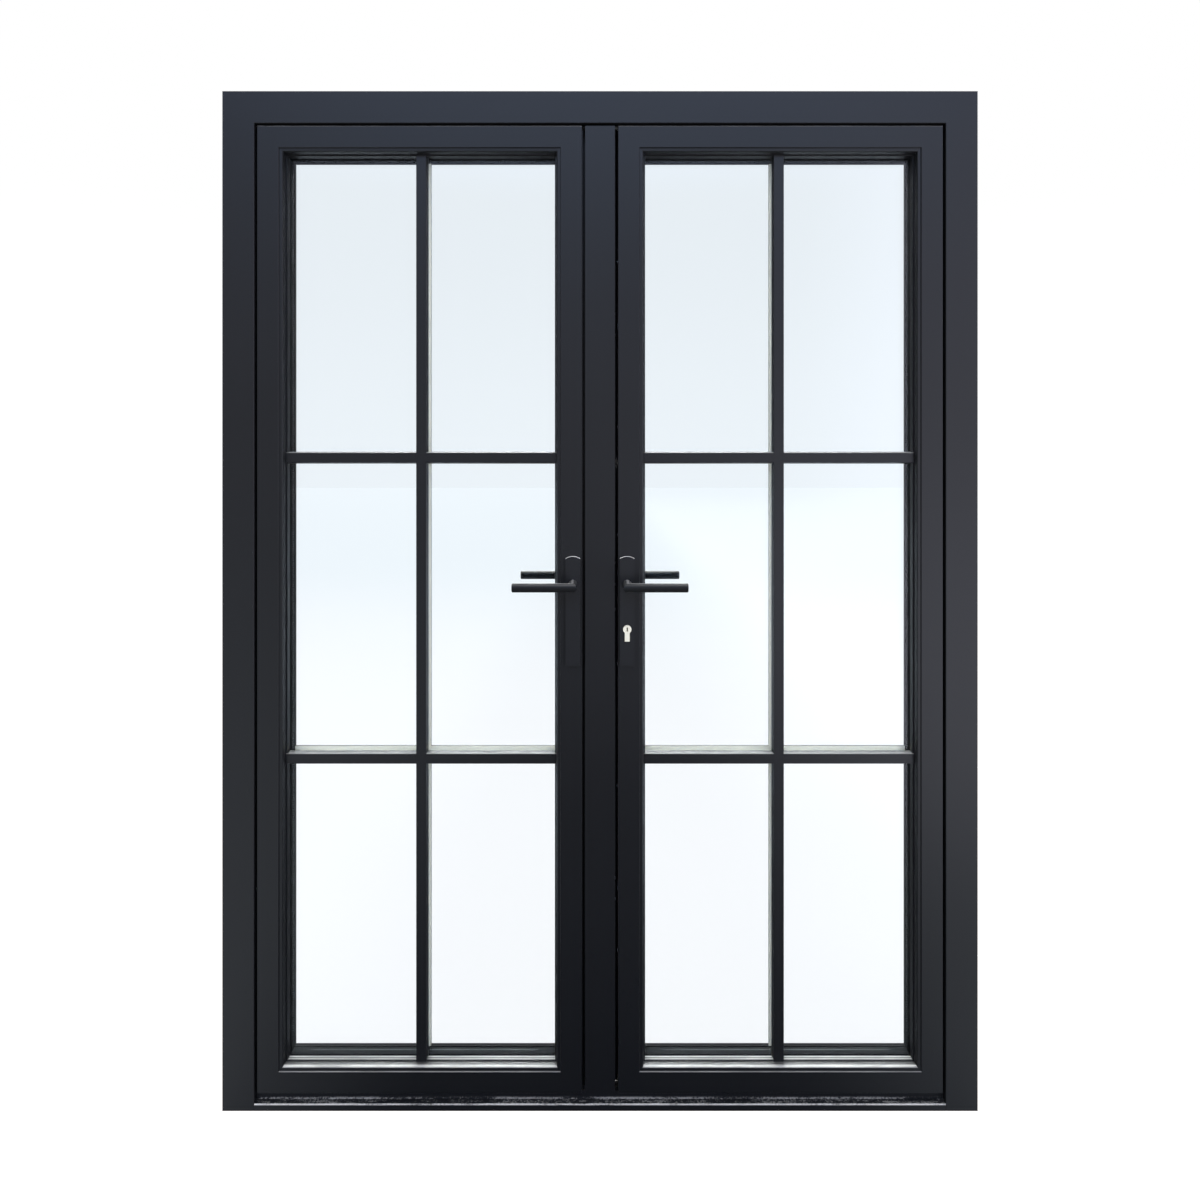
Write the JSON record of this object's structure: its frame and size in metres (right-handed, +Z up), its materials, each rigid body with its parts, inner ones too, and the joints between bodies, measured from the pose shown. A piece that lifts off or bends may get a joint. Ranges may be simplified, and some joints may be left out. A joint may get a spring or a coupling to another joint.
{
  "type": "french doors",
  "caption": "Pair of glazed doors with applied glazing bars, hung in their own frame over a low threshold, with a floating mullion and lever handles.",
  "frame": {"origin": "middle of the frame's underside: halfway between the jambs, halfway between the front and rear levers, at floor level", "axes": "+Z up, +X to the right seen from the front, -Y out of the front face; the leaves open towards +Y"},
  "size_m": [1.548, 0.204, 2.09],
  "materials": {
    "frame_coat": "satin powder coat",
    "leaf_coat": "satin powder coat",
    "threshold_coat": "satin powder coat, scuffed",
    "bar_coat": "satin powder coat",
    "hinge_coat": "satin powder coat",
    "handle_coat": "satin powder coat",
    "glass": "clear",
    "spacer_foil": "dark, perforated",
    "seal_rubber": "matte",
    "cap_plastic": "matte",
    "mill_aluminium": "mill",
    "lock_steel": "zinc plated",
    "cylinder_nickel": "satin nickel plate"
  },
  "bodies": {
    "frame": {"left_jamb": "frame_coat", "right_jamb": "frame_coat", "head": "frame_coat", "threshold": "threshold_coat", "frame_cleats": "mill_aluminium", "frame_seal": "seal_rubber", "head_keep": "lock_steel", "threshold_keep": "lock_steel", "hinge_frame_halves": "hinge_coat", "hinge_pins": "lock_steel"},
    "left_leaf": {"left_hinge_stile": "leaf_coat", "left_meeting_stile": "leaf_coat", "left_top_rail": "leaf_coat", "left_bottom_rail": "leaf_coat", "left_corner_cleats": "mill_aluminium", "left_outer_pane": "glass", "left_inner_pane": "glass", "left_spacer": "spacer_foil", "left_gaskets": "seal_rubber", "left_glazing_beads": "bar_coat", "left_glazing_bars": "bar_coat", "left_hinge_halves": "hinge_coat", "left_handle_plates": "handle_coat", "left_plate_screws": "lock_steel", "bolt_gearbox": "lock_steel", "mullion": "leaf_coat", "mullion_caps": "cap_plastic", "mullion_seal": "seal_rubber", "mullion_keeps": "lock_steel"},
    "right_leaf": {"right_hinge_stile": "leaf_coat", "right_meeting_stile": "leaf_coat", "right_top_rail": "leaf_coat", "right_bottom_rail": "leaf_coat", "right_corner_cleats": "mill_aluminium", "right_outer_pane": "glass", "right_inner_pane": "glass", "right_spacer": "spacer_foil", "right_gaskets": "seal_rubber", "right_glazing_beads": "bar_coat", "right_glazing_bars": "bar_coat", "right_hinge_halves": "hinge_coat", "right_handle_plates": "handle_coat", "right_plate_screws": "lock_steel", "lock_case": "lock_steel", "lock_faceplate": "lock_steel", "cylinder_body": "cylinder_nickel"},
    "left_handle": {"left_front_lever": "handle_coat", "left_rear_lever": "handle_coat", "left_spindle": "lock_steel"},
    "right_handle": {"right_front_lever": "handle_coat", "right_rear_lever": "handle_coat", "right_spindle": "lock_steel"},
    "top_shoot_bolt": {"top_bolt": "lock_steel"},
    "bottom_shoot_bolt": {"bottom_bolt": "lock_steel"},
    "latch": {"latch_bolt": "lock_steel"},
    "dead_lock_bolt": {"dead_bolt": "lock_steel"},
    "edge_pin_bolts": {"pin_bolts": "lock_steel"},
    "front_key_plug": {"cylinder_front_plug": "cylinder_nickel"},
    "rear_key_plug": {"cylinder_rear_plug": "cylinder_nickel"}
  },
  "joints": [
    {"name": "left_leaf_hinge", "type": "hinge", "parent": "frame", "child": "left_leaf", "pos_m": [-0.719, 0.044, 1.045], "axis": [0, 0, 1], "range_deg": [0, 105]},
    {"name": "right_leaf_hinge", "type": "hinge", "parent": "frame", "child": "right_leaf", "pos_m": [0.719, 0.044, 1.045], "axis": [0, 0, -1], "range_deg": [0, 105]},
    {"name": "left_lever_lift", "type": "hinge", "parent": "left_leaf", "child": "left_handle", "pos_m": [-0.0555, 0, 1.081], "axis": [0, 1, 0], "range_deg": [0, 40], "stiffness_Nm_per_rad": 1, "springref_deg": -20.05},
    {"name": "right_lever_lift", "type": "hinge", "parent": "right_leaf", "child": "right_handle", "pos_m": [0.0555, 0, 1.081], "axis": [0, -1, 0], "range_deg": [0, 40], "stiffness_Nm_per_rad": 1, "springref_deg": -20.05},
    {"name": "top_bolt_slide", "type": "slide", "parent": "left_leaf", "child": "top_shoot_bolt", "axis": [0, 0, 1], "range_m": [0, 0.02]},
    {"name": "bottom_bolt_slide", "type": "slide", "parent": "left_leaf", "child": "bottom_shoot_bolt", "axis": [0, 0, -1], "range_m": [0, 0.02]},
    {"name": "pin_bolt_slide", "type": "slide", "parent": "right_leaf", "child": "edge_pin_bolts", "axis": [-1, 0, 0], "range_m": [0, 0.016]},
    {"name": "latch_slide", "type": "slide", "parent": "right_leaf", "child": "latch", "axis": [-1, 0, 0], "range_m": [0, 0.011]},
    {"name": "dead_bolt_slide", "type": "slide", "parent": "right_leaf", "child": "dead_lock_bolt", "axis": [-1, 0, 0], "range_m": [0, 0.02]},
    {"name": "front_key_turn", "type": "hinge", "parent": "right_leaf", "child": "front_key_plug", "pos_m": [0.0555, 0, 0.989], "axis": [0, 1, 0], "range_deg": [0, 360]},
    {"name": "rear_key_turn", "type": "hinge", "parent": "right_leaf", "child": "rear_key_plug", "pos_m": [0.0555, 0, 0.989], "axis": [0, 1, 0], "range_deg": [0, 360]}
  ],
  "couplings": [
    {"joint": "top_bolt_slide", "follows": "left_lever_lift", "m_per_rad": 0.028647},
    {"joint": "bottom_bolt_slide", "follows": "left_lever_lift", "m_per_rad": 0.028647},
    {"joint": "pin_bolt_slide", "follows": "right_lever_lift", "m_per_rad": 0.022918},
    {"joint": "dead_bolt_slide", "follows": "front_key_turn", "m_per_rad": 0.003183}
  ]
}
